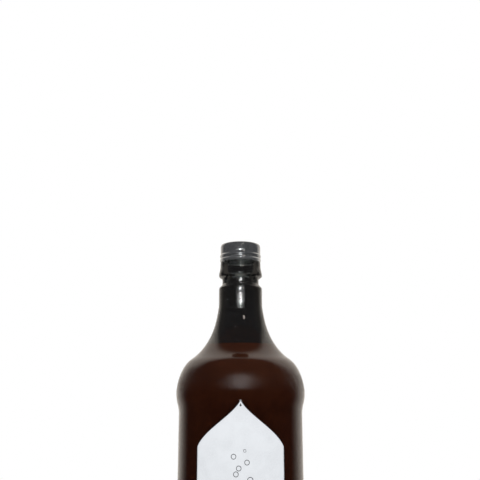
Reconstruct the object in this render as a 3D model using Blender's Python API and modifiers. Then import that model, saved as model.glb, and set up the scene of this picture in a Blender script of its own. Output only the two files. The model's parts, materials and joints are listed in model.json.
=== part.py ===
"""One-litre glass soda bottle with a rolled-on aluminium screw cap, as separate pieces.

The origin is the centre of the face the bottle stands on, with +Z up the bottle's axis.
All sizes are in metres. The pieces are the glass, the drink, the cap shell, its sealing
liner, the tamper band that stays on the neck, and the two enamel panels on the body.
"""

import math

import bmesh
import bpy

# ---- Driving dimensions -------------------------------------------------------------------
TOTAL_HEIGHT = 0.300          # standing face to the top of the closed cap
CAP_RADIUS = 0.01415          # outside of the cap skirt
CAP_HEIGHT = 0.0096           # closed top to the score line
CAP_CORNER = 0.0016           # rounding of the cap's top edge
CAP_WALL = 0.0003             # rolled sheet
BAND_HEIGHT = 0.0029          # tamper band, score line to lower edge
SCORE_GAP = 0.0003            # slit between the cap skirt and the tamper band
BEAD_RISE = 0.0004            # how far each rolled bead stands out of the sheet
LINER_THICKNESS = 0.0008
LIP_ROUND = 0.0007            # rounding of the sealing lip
LIP_STEP = 0.00025            # from the thread's root in to the sealing lip
THREAD_DEPTH = 0.00095        # crest to root of the glass thread
FINISH_WALL = 0.00235         # glass between the thread's root and the bore
LOCK_HEIGHT = 0.0010          # glass ring that the tamper band hooks under
THREAD_PITCH = 0.00318
THREAD_TURNS = 1.5
THREAD_WIDTH = 0.0015         # glass thread, at its root
CAP_THREAD_WIDTH = 0.0009     # rolled thread of the cap, at its root
THREAD_START = math.radians(4.0)   # where the glass thread begins, round from +X
COLLAR_HEIGHT = 0.0037        # plain collar below the tamper band
RING_LEAD = 0.0040            # slope that widens the collar into the bead
RING_STEP = 0.00105           # how far the bead below the collar stands out of it
RING_HEIGHT = 0.0028
GROOVE_DEPTH = 0.00145        # groove under the bead, in from the collar
GROOVE_HEIGHT = 0.0039
CHAMFER_HEIGHT = 0.0026       # slopes that lead into and out of the groove
NECK_RADIUS = 0.0151
NECK_LENGTH = 0.0100          # straight part of the neck
NECK_WALL = 0.0021
SHOULDER_HEIGHT = 0.0613      # end of the straight neck down to the widest ring
SHOULDER_RADIUS = 0.04345     # widest ring of the shoulder and of the heel
FLARE_SLOPE = math.radians(66.0)   # steepest part of the flare, from vertical
PANEL_DEPTH = 0.0020          # recess of the enamel panel's zone
PANEL_LEAD = 0.0150           # length of the slope from shoulder to panel zone
BODY_WALL = 0.0028
HEEL_BAND = 0.0300            # height of the straight band above the heel rounding
HEEL_LEAD = 0.0100            # slope from the panel zone to the heel band
HEEL_ROUND = 0.0085           # rounding at the bottom of the body
FOOT_WIDTH = 0.0035           # flat ring that the bottle stands on
PUSH_UP = 0.0055              # how far the base is domed up
BASE_THICKNESS = 0.0048
FILL_DEPTH_BELOW_TOP = 0.0729  # headspace: top of the cap to the drink's surface
LABEL_HEIGHT = 0.1160
LABEL_HALF_WIDTH = 0.0290     # measured round the glass
LABEL_POINT = 0.0280          # height of each pointed end
LABEL_TIP = 0.0004            # half width of the blunt tip
LABEL_THICKNESS = 0.0003
LABEL_TOP_DROP = 0.0048       # widest ring of the shoulder down to the panel's point

# ---- Shape of the shoulder's two curves, as shares of its reach or its height --------------
TURN_REACH = 0.655            # where the neck's hollow curve meets the round shoulder
TURN_RISE = 0.361
NECK_PULL = 0.417             # handle lengths: how long each curve keeps its first direction
HOLLOW_PULL = 0.062
ROUND_PULL = 0.083
SIDE_PULL = 0.154

# ---- Clearances ---------------------------------------------------------------------------
CLEARANCE = 0.0003            # between pieces that touch
THREAD_CLEARANCE = 0.0003     # between the flanks of the cap's thread and of the glass's
CREST_CLEARANCE = 0.00055     # glass thread to the cap's wall
ROOT_CLEARANCE = 0.0006       # cap's thread or the band's curl to the glass between turns
LOCK_CLEARANCE = 0.0005       # locking ring to the tamper band's wall

# ---- Mesh fineness ------------------------------------------------------------------------
BODY_STEPS = 40
CAP_STEPS = 40
ARC_POINTS = 3                # points inside each small rounding
FLARE_POINTS = 8              # segments on each curve of the shoulder
MERGE = 0.00001

# ---- Levels that follow from the sizes above ----------------------------------------------
CAP_BOTTOM = TOTAL_HEIGHT - CAP_HEIGHT
BAND_TOP = CAP_BOTTOM - SCORE_GAP
BAND_BOTTOM = BAND_TOP - BAND_HEIGHT
LINER_TOP = TOTAL_HEIGHT - CAP_WALL - CLEARANCE
LIP_TOP = LINER_TOP - LINER_THICKNESS - CLEARANCE
COLLAR_TOP = BAND_BOTTOM - CLEARANCE
COLLAR_BOTTOM = COLLAR_TOP - COLLAR_HEIGHT
RING_TOP = COLLAR_BOTTOM - RING_LEAD
RING_BOTTOM = RING_TOP - RING_HEIGHT
GROOVE_TOP = RING_BOTTOM - CHAMFER_HEIGHT * 0.45
GROOVE_BOTTOM = GROOVE_TOP - GROOVE_HEIGHT
NECK_TOP = GROOVE_BOTTOM - CHAMFER_HEIGHT
FLARE_TOP = NECK_TOP - NECK_LENGTH
SHOULDER_LEVEL = FLARE_TOP - SHOULDER_HEIGHT
PANEL_TOP = SHOULDER_LEVEL - PANEL_LEAD
HEEL_BAND_TOP = HEEL_ROUND + HEEL_BAND
PANEL_BOTTOM = HEEL_BAND_TOP + HEEL_LEAD
PANEL_RADIUS = SHOULDER_RADIUS - PANEL_DEPTH
FOOT_OUTER = SHOULDER_RADIUS - HEEL_ROUND
FOOT_INNER = FOOT_OUTER - FOOT_WIDTH
CAP_BORE = CAP_RADIUS - CAP_WALL
THREAD_CREST = CAP_BORE - CREST_CLEARANCE
THREAD_ROOT = THREAD_CREST - THREAD_DEPTH
LIP_RADIUS = THREAD_ROOT - LIP_STEP
BORE_RADIUS = THREAD_ROOT - FINISH_WALL
RING_RADIUS = CAP_RADIUS + RING_STEP
GROOVE_RADIUS = CAP_RADIUS - GROOVE_DEPTH
BAND_LIP = THREAD_ROOT + ROOT_CLEARANCE       # inward curl that holds the tamper band
LOCK_RING = CAP_BORE - LOCK_CLEARANCE         # glass ring above that curl
LOCK_BOTTOM = BAND_BOTTOM + CAP_WALL + CLEARANCE * 2
LOCK_TOP = LOCK_BOTTOM + LOCK_HEIGHT
THREAD_TOP = LIP_TOP - 0.0011                 # centre of the glass thread's last turn
THREAD_BOTTOM = THREAD_TOP - THREAD_TURNS * THREAD_PITCH
CAP_THREAD_CREST = THREAD_ROOT + ROOT_CLEARANCE
THREAD_OFFSET = (THREAD_WIDTH + CAP_THREAD_WIDTH) * 0.315 + THREAD_CLEARANCE
FILL_LEVEL = TOTAL_HEIGHT - FILL_DEPTH_BELOW_TOP


def clear_scene():
    """Remove every object so that the script always starts from an empty scene."""
    for item in list(bpy.data.objects):
        bpy.data.objects.remove(item, do_unlink=True)


def new_collection(name):
    """Make a collection in the scene and return it."""
    collection = bpy.data.collections.new(name)
    bpy.context.scene.collection.children.link(collection)
    return collection


def material(name, colour, roughness, metallic=0.0, transmission=0.0, ior=1.5):
    """Make a Principled material."""
    made = bpy.data.materials.new(name)
    made.use_nodes = True
    shader = made.node_tree.nodes["Principled BSDF"]
    shader.inputs["Base Color"].default_value = (*colour, 1.0)
    shader.inputs["Roughness"].default_value = roughness
    shader.inputs["Metallic"].default_value = metallic
    shader.inputs["Transmission Weight"].default_value = transmission
    shader.inputs["IOR"].default_value = ior
    made.diffuse_color = (*colour, 1.0)
    return made


def bezier(start, start_handle, end_handle, end, segments):
    """Points on a cubic curve, without its first point."""
    points = []
    for index in range(1, segments + 1):
        t = index / segments
        u = 1.0 - t
        weights = (u**3, 3 * u * u * t, 3 * u * t * t, t**3)
        corners = (start, start_handle, end_handle, end)
        points.append(tuple(sum(w * c[axis] for w, c in zip(weights, corners)) for axis in (0, 1)))
    return points


def rounding(centre, radius, first_degrees, last_degrees, inner_points=ARC_POINTS):
    """Points on an arc in the (radius, height) plane, both ends included."""
    points = []
    for index in range(inner_points + 2):
        share = index / (inner_points + 1)
        angle = math.radians(first_degrees + (last_degrees - first_degrees) * share)
        points.append((centre[0] + radius * math.cos(angle), centre[1] + radius * math.sin(angle)))
    return points


def shoulder_outline():
    """Outside of the bottle from the straight neck's lower end to the widest ring."""
    reach = SHOULDER_RADIUS - NECK_RADIUS
    turn = (NECK_RADIUS + reach * TURN_REACH, SHOULDER_LEVEL + SHOULDER_HEIGHT * TURN_RISE)
    outward = SHOULDER_HEIGHT * math.sin(FLARE_SLOPE)
    downward = SHOULDER_HEIGHT * math.cos(FLARE_SLOPE)
    points = [(NECK_RADIUS, FLARE_TOP)]
    points += bezier(points[0], (NECK_RADIUS, FLARE_TOP - SHOULDER_HEIGHT * NECK_PULL),
                     (turn[0] - outward * HOLLOW_PULL, turn[1] + downward * HOLLOW_PULL),
                     turn, FLARE_POINTS)
    points += bezier(turn, (turn[0] + outward * ROUND_PULL, turn[1] - downward * ROUND_PULL),
                     (SHOULDER_RADIUS, SHOULDER_LEVEL + SHOULDER_HEIGHT * SIDE_PULL),
                     (SHOULDER_RADIUS, SHOULDER_LEVEL), FLARE_POINTS)
    return points


def panel_slope(top_radius, top, bottom_radius, bottom, segments):
    """Smooth S-shaped step between two straight stretches of the body."""
    middle = (top + bottom) / 2
    return bezier((top_radius, top), (top_radius, middle), (bottom_radius, middle),
                  (bottom_radius, bottom), segments)


def body_outline():
    """Outside of the bottle from the straight neck's lower end to the heel rounding."""
    points = shoulder_outline()
    points += panel_slope(SHOULDER_RADIUS, SHOULDER_LEVEL, PANEL_RADIUS, PANEL_TOP, 6)
    points.append((PANEL_RADIUS, PANEL_BOTTOM))
    points += panel_slope(PANEL_RADIUS, PANEL_BOTTOM, SHOULDER_RADIUS, HEEL_BAND_TOP, 4)
    return points


def wall_at(level):
    """Glass thickness at a level: thin in the neck, thicker in the body."""
    share = (FLARE_TOP - level) / SHOULDER_HEIGHT
    share = min(max(share, 0.0), 1.0)
    return NECK_WALL + (BODY_WALL - NECK_WALL) * share


def offset_inward(points, thickness):
    """Move an outline that runs down its outer side towards the axis.

    thickness is a function of the level.
    """
    moved = []
    for index, (radius, level) in enumerate(points):
        before = points[max(index - 1, 0)]
        after = points[min(index + 1, len(points) - 1)]
        run = (after[0] - before[0], after[1] - before[1])
        length = math.hypot(*run)
        distance = thickness(level)
        moved.append((radius + run[1] / length * distance, level - run[0] / length * distance))
    return moved


def interior_outline(clearance=0.0):
    """Inside of the body, from the neck's straight part down to the centre of the base."""
    skin = offset_inward(body_outline(), lambda level: wall_at(level) + clearance)
    points = skin[:-1:2] + skin[-1:]          # the hidden side needs fewer bends
    wall = BODY_WALL + clearance
    corner = max(HEEL_ROUND - BODY_WALL, 0.003) - clearance
    side = SHOULDER_RADIUS - wall
    floor = BASE_THICKNESS + clearance
    points += rounding((side - corner, floor + corner), corner, 0, -90)
    points.append(((side - corner) * 0.6, floor + PUSH_UP * 0.55))
    points.append(((side - corner) * 0.3, floor + PUSH_UP * 0.9))
    points.append((0.0, floor + PUSH_UP))
    return points


def finish_outline():
    """Outside of the bottle's mouth, from the sealing lip down to the straight neck."""
    points = rounding((BORE_RADIUS + LIP_ROUND, LIP_TOP - LIP_ROUND), LIP_ROUND, 180, 90, 1)
    points += rounding((LIP_RADIUS - LIP_ROUND, LIP_TOP - LIP_ROUND), LIP_ROUND, 90, 0, 1)
    points.append((THREAD_ROOT, LIP_TOP - LIP_ROUND * 2))
    points.append((THREAD_ROOT, LOCK_TOP + 0.0006))
    points.append((LOCK_RING, LOCK_TOP))
    points.append((LOCK_RING, LOCK_BOTTOM))
    points.append((THREAD_ROOT, LOCK_BOTTOM - 0.0001))
    points.append((THREAD_ROOT, COLLAR_TOP))
    points += rounding((CAP_RADIUS - 0.0006, COLLAR_TOP - 0.0006), 0.0006, 90, 0, 1)
    points.append((CAP_RADIUS, COLLAR_BOTTOM))
    points.append((RING_RADIUS - RING_STEP * 0.15, RING_TOP))
    points.append((RING_RADIUS, RING_TOP - RING_HEIGHT * 0.35))
    points.append((RING_RADIUS, RING_TOP - RING_HEIGHT * 0.65))
    points.append((RING_RADIUS - RING_STEP * 0.6, RING_BOTTOM))
    points.append((GROOVE_RADIUS, GROOVE_TOP))
    points.append((GROOVE_RADIUS, GROOVE_BOTTOM))
    points.append((NECK_RADIUS - 0.0004, NECK_TOP + 0.0004))
    points.append((NECK_RADIUS, NECK_TOP - 0.0004))
    return points


def base_outline():
    """Outside of the heel rounding, the standing ring and the domed base."""
    points = rounding((SHOULDER_RADIUS - HEEL_ROUND, HEEL_ROUND), HEEL_ROUND, 0, -90)
    points.append((FOOT_INNER, 0.0))
    points.append((FOOT_INNER - 0.0025, PUSH_UP * 0.45))
    points.append((FOOT_INNER * 0.45, PUSH_UP * 0.92))
    points.append((0.0, PUSH_UP))
    return points


def turned(name, profile, steps, collection, finish):
    """Turn a closed or axis-to-axis profile of (radius, level) points about Z."""
    mesh = bpy.data.meshes.new(name)
    edges = [(index, index + 1) for index in range(len(profile) - 1)]
    if profile[0][0] > 0 or profile[-1][0] > 0:
        edges.append((len(profile) - 1, 0))
    mesh.from_pydata([(radius, 0.0, level) for radius, level in profile], edges, [])
    made = bpy.data.objects.new(name, mesh)
    collection.objects.link(made)
    screw = made.modifiers.new("Turn", "SCREW")
    screw.steps = steps
    screw.render_steps = steps
    screw.use_merge_vertices = True
    screw.merge_threshold = MERGE
    screw.use_smooth_shade = True
    made.data.materials.append(finish)
    return made


def helix_ridge(name, root, crest, width, start_level, turns, steps, collection):
    """Ridge of trapezoid section that climbs round Z, tapered to nothing at both ends.

    root lies inside the wall that carries the ridge, and crest is where the ridge stands.
    """
    mesh = bmesh.new()
    count = int(round(turns * steps))
    fade = max(2, steps // 8)
    sections = []
    for index in range(count + 1):
        angle = 2 * math.pi * index / steps
        level = start_level + THREAD_PITCH * index / steps
        share = min(index, count - index, fade) / fade
        top = root + (crest - root) * (0.35 + 0.65 * share)
        corners = ((root, -width / 2), (top, -width / 4), (top, width / 4), (root, width / 2))
        ring = []
        for radius, rise in corners:
            place = (radius * math.cos(angle), radius * math.sin(angle), level + rise)
            ring.append(mesh.verts.new(place))
        sections.append(ring)
    for first, second in zip(sections, sections[1:]):
        for side in range(4):
            nearby = (side + 1) % 4
            mesh.faces.new((first[side], first[nearby], second[nearby], second[side]))
    mesh.faces.new(sections[0])
    mesh.faces.new(reversed(sections[-1]))
    bmesh.ops.recalc_face_normals(mesh, faces=mesh.faces)
    data = bpy.data.meshes.new(name)
    mesh.to_mesh(data)
    mesh.free()
    made = bpy.data.objects.new(name, data)
    collection.objects.link(made)
    made.hide_render = True
    made.display_type = "WIRE"
    return made


def combine(target, tool, operation):
    """Add a Boolean modifier that joins the tool to the target or cuts it away."""
    change = target.modifiers.new(tool.name, "BOOLEAN")
    change.operation = operation
    change.solver = "EXACT"
    change.object = tool
    return change


def make_bottle(parts, cutters):
    """The glass: finish with thread, neck, flared shoulder, body, heel and domed base."""
    inside = interior_outline()
    profile = list(reversed(inside))
    profile.append((NECK_RADIUS - NECK_WALL, NECK_TOP - 0.0010))
    profile.append((BORE_RADIUS, RING_BOTTOM))
    profile += finish_outline()
    profile += body_outline()
    profile += base_outline()
    glass = material("clear_glass", (0.92, 0.96, 0.94), 0.03, transmission=1.0, ior=1.52)
    bottle = turned("bottle_glass", profile, BODY_STEPS, parts, glass)
    thread = helix_ridge("glass_thread", THREAD_ROOT - 0.0005, THREAD_CREST, THREAD_WIDTH,
                         THREAD_BOTTOM, THREAD_TURNS, BODY_STEPS, cutters)
    thread.rotation_euler[2] = THREAD_START
    combine(bottle, thread, "UNION")
    return bottle


def make_drink(parts):
    """The drink: it fills the inside up to the headspace."""
    wall = interior_outline(CLEARANCE)
    below = [point for point in wall if point[1] < FILL_LEVEL]
    above = [point for point in wall if point[1] >= FILL_LEVEL][-1]
    share = (FILL_LEVEL - below[0][1]) / (above[1] - below[0][1])
    edge = below[0][0] + (above[0] - below[0][0]) * share
    profile = [(0.0, FILL_LEVEL), (edge, FILL_LEVEL)] + below
    cola = material("soda_drink", (0.035, 0.012, 0.006), 0.05, transmission=0.2, ior=1.34)
    return turned("soda_drink", profile, BODY_STEPS, parts, cola)


def make_cap(parts, cutters):
    """The cap shell: closed top, rolled thread inside and out, bead at the lower edge."""
    corner = CAP_CORNER
    bead = CAP_BOTTOM + 0.0011
    profile = [(0.0, TOTAL_HEIGHT)]
    profile += rounding((CAP_RADIUS - corner, TOTAL_HEIGHT - corner), corner, 90, 0)
    profile.append((CAP_RADIUS, bead + 0.0008))
    profile.append((CAP_RADIUS + BEAD_RISE, bead + 0.0003))
    profile.append((CAP_RADIUS + BEAD_RISE, bead - 0.0003))
    profile.append((CAP_RADIUS, CAP_BOTTOM + 0.0002))
    profile.append((CAP_RADIUS, CAP_BOTTOM))
    profile.append((CAP_BORE, CAP_BOTTOM))
    inner = corner - CAP_WALL
    profile += rounding((CAP_BORE - inner, TOTAL_HEIGHT - CAP_WALL - inner), inner, 0, 90, 2)
    profile.append((0.0, TOTAL_HEIGHT - CAP_WALL))
    tin = material("cap_aluminium", (0.62, 0.63, 0.65), 0.28, metallic=1.0)
    cap = turned("cap_shell", profile, CAP_STEPS, parts, tin)
    start = THREAD_BOTTOM - THREAD_OFFSET
    ridge = helix_ridge("cap_thread", CAP_BORE + 0.0001, CAP_THREAD_CREST, CAP_THREAD_WIDTH,
                        start + THREAD_PITCH * 0.25, THREAD_TURNS - 0.25, CAP_STEPS, cutters)
    ridge.rotation_euler[2] = THREAD_START + math.pi / 2
    combine(cap, ridge, "UNION")
    groove = helix_ridge("cap_groove", CAP_RADIUS + 0.0006, CAP_RADIUS - 0.0003,
                         CAP_THREAD_WIDTH * 1.4, start + THREAD_PITCH * 0.25,
                         THREAD_TURNS - 0.25, CAP_STEPS, cutters)
    groove.rotation_euler[2] = THREAD_START + math.pi / 2
    combine(cap, groove, "DIFFERENCE")
    return cap


def make_liner(parts):
    """The sealing disc between the cap's top and the glass lip."""
    edge = CAP_BORE - (CAP_CORNER - CAP_WALL) * 0.45 - CLEARANCE
    bottom = LINER_TOP - LINER_THICKNESS
    profile = [(0.0, LINER_TOP), (edge - 0.0006, LINER_TOP), (edge, LINER_TOP - 0.0004),
               (edge, bottom), (0.0, bottom)]
    foam = material("liner_compound", (0.75, 0.77, 0.74), 0.6)
    return turned("cap_liner", profile, CAP_STEPS, parts, foam)


def make_band(parts):
    """The tamper band: a rolled ring that its inward curl keeps on the neck."""
    middle = (BAND_TOP + BAND_BOTTOM) / 2
    profile = [(CAP_RADIUS, BAND_TOP), (CAP_RADIUS, middle + 0.0007),
               (CAP_RADIUS + BEAD_RISE, middle + 0.0002),
               (CAP_RADIUS + BEAD_RISE, middle - 0.0003),
               (CAP_RADIUS, middle - 0.0008), (CAP_RADIUS - 0.0001, BAND_BOTTOM),
               (BAND_LIP, BAND_BOTTOM), (BAND_LIP, BAND_BOTTOM + CAP_WALL),
               (CAP_BORE - 0.0001, BAND_BOTTOM + CAP_WALL), (CAP_BORE, BAND_TOP)]
    tin = material("band_aluminium", (0.62, 0.63, 0.65), 0.3, metallic=1.0)
    return turned("tamper_band", profile, CAP_STEPS, parts, tin)


def body_radius_at(level):
    """Outside radius of the glass between the shoulder and the heel."""
    outline = body_outline()
    for upper, lower in zip(outline, outline[1:]):
        if lower[1] <= level <= upper[1]:
            share = (upper[1] - level) / (upper[1] - lower[1])
            return upper[0] + (lower[0] - upper[0]) * share
    return SHOULDER_RADIUS


def label_half_width(depth):
    """Half width of the enamel panel at a distance below its upper point."""
    from_end = min(depth, LABEL_HEIGHT - depth)
    share = min(from_end / LABEL_POINT, 1.0)
    ogee = share**2 * (3 - 2 * share)
    return LABEL_HALF_WIDTH * (share + ogee) / 2 + LABEL_TIP


def label_depths():
    """Distances below the panel's upper point where its outline or the glass bends."""
    top = SHOULDER_LEVEL - LABEL_TOP_DROP
    point_rows = 10
    depths = [LABEL_POINT * (row / point_rows) ** 1.4 for row in range(point_rows + 1)]
    depths += [LABEL_HEIGHT - depth for depth in depths]
    bends = [top - level for radius, level in body_outline()]
    depths += [bend for bend in bends if 0.0 < bend < LABEL_HEIGHT]
    depths.sort()
    return depths[:1] + [lower for upper, lower in zip(depths, depths[1:]) if lower - upper > MERGE]


def make_label(name, facing_degrees, parts, finish):
    """Enamel panel with pointed ends that follows the glass it is fired on."""
    columns = 10
    top = SHOULDER_LEVEL - LABEL_TOP_DROP
    skin = bmesh.new()
    grid = []
    for depth in label_depths():
        level = top - depth
        radius = body_radius_at(level) + CLEARANCE
        line = []
        for column in range(columns + 1):
            side = 2 * column / columns - 1
            angle = math.radians(facing_degrees) + side * label_half_width(depth) / radius
            place = (radius * math.cos(angle), radius * math.sin(angle), level)
            line.append(skin.verts.new(place))
        grid.append(line)
    for upper, lower in zip(grid, grid[1:]):
        for column in range(columns):
            skin.faces.new((upper[column], lower[column], lower[column + 1], upper[column + 1]))
    data = bpy.data.meshes.new(name)
    skin.to_mesh(data)
    skin.free()
    label = bpy.data.objects.new(name, data)
    parts.objects.link(label)
    sheet = label.modifiers.new("Enamel", "SOLIDIFY")
    sheet.thickness = LABEL_THICKNESS
    sheet.offset = 1.0
    label.data.materials.append(finish)
    return label


def main():
    """Build every piece of the bottle."""
    clear_scene()
    parts = new_collection("glass_soda_bottle")
    cutters = new_collection("cutters")
    make_bottle(parts, cutters)
    make_drink(parts)
    make_cap(parts, cutters)
    make_liner(parts)
    make_band(parts)
    enamel = material("white_enamel", (0.78, 0.79, 0.80), 0.35)
    make_label("front_label", -90.0, parts, enamel)
    make_label("back_label", 90.0, parts, enamel)


main()
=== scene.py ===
"""Looks of the one-litre glass soda bottle: glass, drink, cap, liner, band and enamel.

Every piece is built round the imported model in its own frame: metres, +Z up the bottle's
axis, and the origin at the centre of the face that the bottle stands on.
"""

import json
import logging
import math
from dataclasses import asdict, dataclass
from enum import Enum
from functools import cache
from typing import Any, Callable, Iterable, Sequence, Union

import bpy
import numpy as np
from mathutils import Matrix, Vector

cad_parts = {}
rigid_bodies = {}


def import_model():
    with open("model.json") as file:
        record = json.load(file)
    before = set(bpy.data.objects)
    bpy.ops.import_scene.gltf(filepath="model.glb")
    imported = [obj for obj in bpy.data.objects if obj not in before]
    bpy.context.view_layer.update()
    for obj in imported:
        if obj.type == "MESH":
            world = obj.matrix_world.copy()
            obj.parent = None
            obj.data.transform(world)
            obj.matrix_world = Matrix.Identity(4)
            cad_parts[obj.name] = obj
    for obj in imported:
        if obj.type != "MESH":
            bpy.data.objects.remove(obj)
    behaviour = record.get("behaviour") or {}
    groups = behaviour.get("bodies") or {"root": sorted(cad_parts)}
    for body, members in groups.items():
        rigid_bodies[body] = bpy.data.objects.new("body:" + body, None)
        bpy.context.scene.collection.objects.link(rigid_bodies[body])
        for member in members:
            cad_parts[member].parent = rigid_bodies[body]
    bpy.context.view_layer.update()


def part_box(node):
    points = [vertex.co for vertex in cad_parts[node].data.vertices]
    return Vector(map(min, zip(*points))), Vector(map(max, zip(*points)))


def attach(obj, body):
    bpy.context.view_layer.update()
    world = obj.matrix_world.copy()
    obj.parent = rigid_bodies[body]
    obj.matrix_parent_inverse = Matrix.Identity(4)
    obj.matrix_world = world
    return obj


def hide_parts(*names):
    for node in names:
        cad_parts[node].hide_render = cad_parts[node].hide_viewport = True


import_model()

log = logging.getLogger("soda_bottle")

MM = 0.001
TOP_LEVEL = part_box("cap_shell")[1].z
FULL_TURN = 2 * math.pi

Point = tuple[float, float]
Place = tuple[float, float, float]
Colour = tuple[float, float, float]
Piece = bpy.types.Object
Material = bpy.types.Material
Plug = Union["Field", float, int, str, tuple, bpy.types.ID]


class Body(Enum):
    """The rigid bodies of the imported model."""

    BOTTLE = "bottle"
    LINER = "liner"
    CAP = "cap"


class Slot(Enum):
    """The record's material slots."""

    GLASS = "clear_glass"
    SODA = "dark_soda"
    CAP = "cap_aluminium"
    LINER = "liner_compound"
    BAND = "band_aluminium"
    ENAMEL = "white_enamel"


class Side(Enum):
    """Which way an enamel panel faces, in degrees round from +X."""

    FRONT = -90.0
    BACK = 90.0


# ---- Node trees ---------------------------------------------------------------------------
class Field:
    """Output socket of a node tree; Python's operators add math nodes to it."""

    def __init__(self, kit: "NodeKit", socket: bpy.types.NodeSocket) -> None:
        self.kit, self.socket = kit, socket

    def math(self, operation: str, *others: Plug) -> "Field":
        """Pass the value through a math node, with the node's other inputs."""
        inputs = dict(enumerate((self, *others)))
        return self.kit.out("ShaderNodeMath", inputs, operation=operation)

    def __add__(self, other: Plug) -> "Field":
        """Sum."""
        return self.math("ADD", other)

    def __sub__(self, other: Plug) -> "Field":
        """Difference."""
        return self.math("SUBTRACT", other)

    def __rsub__(self, other: float) -> "Field":
        """Number minus this value."""
        return self.math("MULTIPLY_ADD", -1.0, other)

    def __mul__(self, other: Plug) -> "Field":
        """Product."""
        return self.math("MULTIPLY", other)

    def __truediv__(self, other: Plug) -> "Field":
        """Quotient."""
        return self.math("DIVIDE", other)

    def ramp(self, low: float, high: float) -> "Field":
        """Smooth step from 0 to 1 while the value goes from low to high."""
        inputs = {0: self, 1: low, 2: high, 3: 0.0, 4: 1.0}
        return self.kit.out("ShaderNodeMapRange", inputs, interpolation_type="SMOOTHSTEP")


class NodeKit:
    """Adds nodes to one tree. Inputs are plugged by name or number, settings are attributes."""

    def __init__(self, tree: bpy.types.NodeTree) -> None:
        """Work on a tree."""
        self.tree = tree

    def add(self, kind: str, inputs: dict[Any, Plug] | None = None,
            **settings: Any) -> bpy.types.Node:
        """Add a node.

        Args:
            kind: The node's type name.
            inputs: Values or fields by the input's name or number.
            **settings: Attributes of the node.

        Returns:
            The new node.
        """
        node = self.tree.nodes.new(kind)
        for name, value in settings.items():
            setattr(node, name, value)
        self.plug(node, inputs or {})
        return node

    def plug(self, node: bpy.types.Node, inputs: dict[Any, Plug]) -> None:
        """Give a node its inputs.

        Args:
            node: A node of the tree.
            inputs: Values or fields by the input's name or number.
        """
        for name, value in inputs.items():
            if isinstance(value, Field):
                self.tree.links.new(value.socket, node.inputs[name])
            else:
                node.inputs[name].default_value = value

    def out(self, kind: str, inputs: dict[Any, Plug] | None = None, output: Any = 0,
            **settings: Any) -> Field:
        """Add a node and return one of its outputs."""
        return Field(self, self.add(kind, inputs, **settings).outputs[output])

    def split(self, vector: Field) -> tuple[Field, Field, Field]:
        """The three components of a vector field."""
        node = self.add("ShaderNodeSeparateXYZ", {0: vector})
        return tuple(Field(self, socket) for socket in node.outputs)

    def join(self, x: Plug, y: Plug, z: Plug) -> Field:
        """A vector of three components."""
        return self.out("ShaderNodeCombineXYZ", {0: x, 1: y, 2: z})

    def mix(self, share: Plug, first: Plug, second: Plug) -> Field:
        """Colour between two colours."""
        colours = {6 + index: value if isinstance(value, Field) else (*value, 1.0)
                   for index, value in enumerate((first, second))}
        return self.out("ShaderNodeMix", {0: share, **colours}, 2, data_type="RGBA")

    def noise(self, vector: Field, scale: Plug, detail: float = 2.0,
              roughness: float = 0.5) -> Field:
        """Noise from 0 to 1 at a number of features per unit."""
        inputs = {"Vector": vector, "Scale": scale, "Detail": detail, "Roughness": roughness}
        return self.out("ShaderNodeTexNoise", inputs)

    def stretch(self, vector: Field, scale: Place) -> Field:
        """Scale a vector's components."""
        return self.out("ShaderNodeVectorMath", {0: vector, 1: scale}, operation="MULTIPLY")

    def bump(self, height: Field, depth: float, below: Field | None = None) -> Field:
        """Surface normal from a height, laid on another normal if one is given."""
        inputs = {"Strength": 1.0, "Distance": depth, "Height": height}
        return self.out("ShaderNodeBump", inputs if below is None else {**inputs, "Normal": below})


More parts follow.
